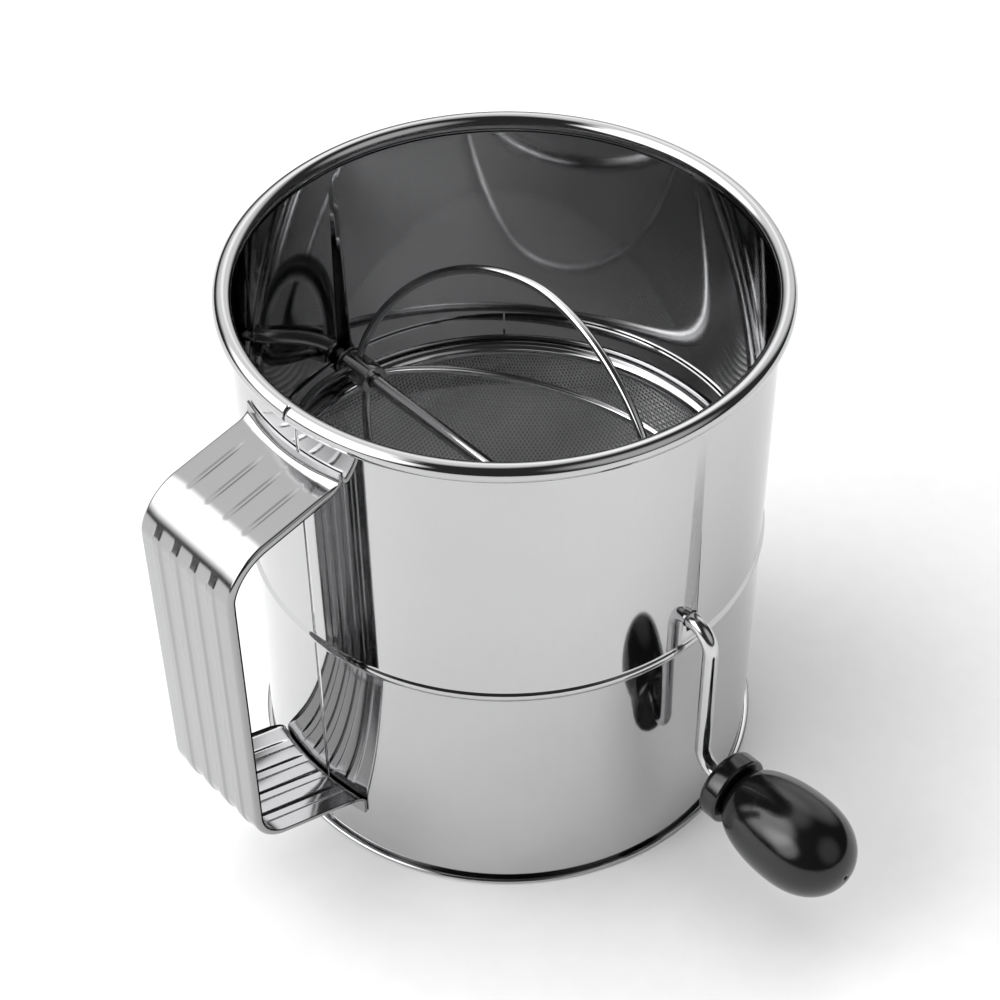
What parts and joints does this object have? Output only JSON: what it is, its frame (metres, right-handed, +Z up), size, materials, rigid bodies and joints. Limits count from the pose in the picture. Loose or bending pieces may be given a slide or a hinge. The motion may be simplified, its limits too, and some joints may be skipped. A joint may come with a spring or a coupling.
{
  "type": "flour sifter",
  "caption": "Hand-cranked flour sifter: open steel can with a rolled rim, ribbed strap handle, domed wire screen and a turning wire agitator.",
  "frame": {"origin": "middle of the footprint of the whole assembly, on the surface that the can's foot stands on", "axes": "+Z up along the can's axis; +X along the crank shaft, from the can to the knob; the handle is on the -Y side"},
  "size_m": [0.2287, 0.2, 0.1769],
  "materials": {
    "body_steel": "mirror-polished stainless steel sheet",
    "rim_wire_steel": "plain drawn steel wire, hidden in the rolled rim",
    "handle_steel": "polished stainless steel strap with pressed beads",
    "screen_ring_steel": "polished stainless steel ring rolled from sheet",
    "screen_band_steel": "polished stainless steel strip",
    "mesh_steel": "woven stainless steel wire cloth",
    "crank_steel": "polished stainless steel rod",
    "agitator_steel": "polished stainless steel wire",
    "hub_steel": "polished stainless steel sleeve",
    "washer_steel": "plain stainless steel washer",
    "collar_plastic": "glossy black moulded plastic",
    "grip_plastic": "glossy black moulded plastic"
  },
  "bodies": {
    "can": {"body_shell": "body_steel", "rim_wire": "rim_wire_steel", "handle_strap": "handle_steel", "screen_ring": "screen_ring_steel", "screen_band": "screen_band_steel", "screen_mesh": "mesh_steel"},
    "crank": {"crank_rod": "crank_steel", "agitator_wire_1": "agitator_steel", "agitator_wire_2": "agitator_steel", "agitator_wire_3": "agitator_steel", "agitator_wire_4": "agitator_steel", "hub_near": "hub_steel", "hub_far": "hub_steel", "thrust_washer_near": "washer_steel", "thrust_washer_far": "washer_steel", "end_washer": "washer_steel", "knob_washer": "washer_steel"},
    "knob": {"knob_collar": "collar_plastic", "knob_grip": "grip_plastic"}
  },
  "joints": [
    {"name": "crank_spin", "type": "hinge", "parent": "can", "child": "crank", "pos_m": [-0.03173, 0.01733, 0.0968], "axis": [1, 0, 0], "continuous": true},
    {"name": "knob_spin", "type": "hinge", "parent": "crank", "child": "knob", "pos_m": [0.06828, 0.01733, 0.04], "axis": [1, 0, 0], "continuous": true}
  ]
}
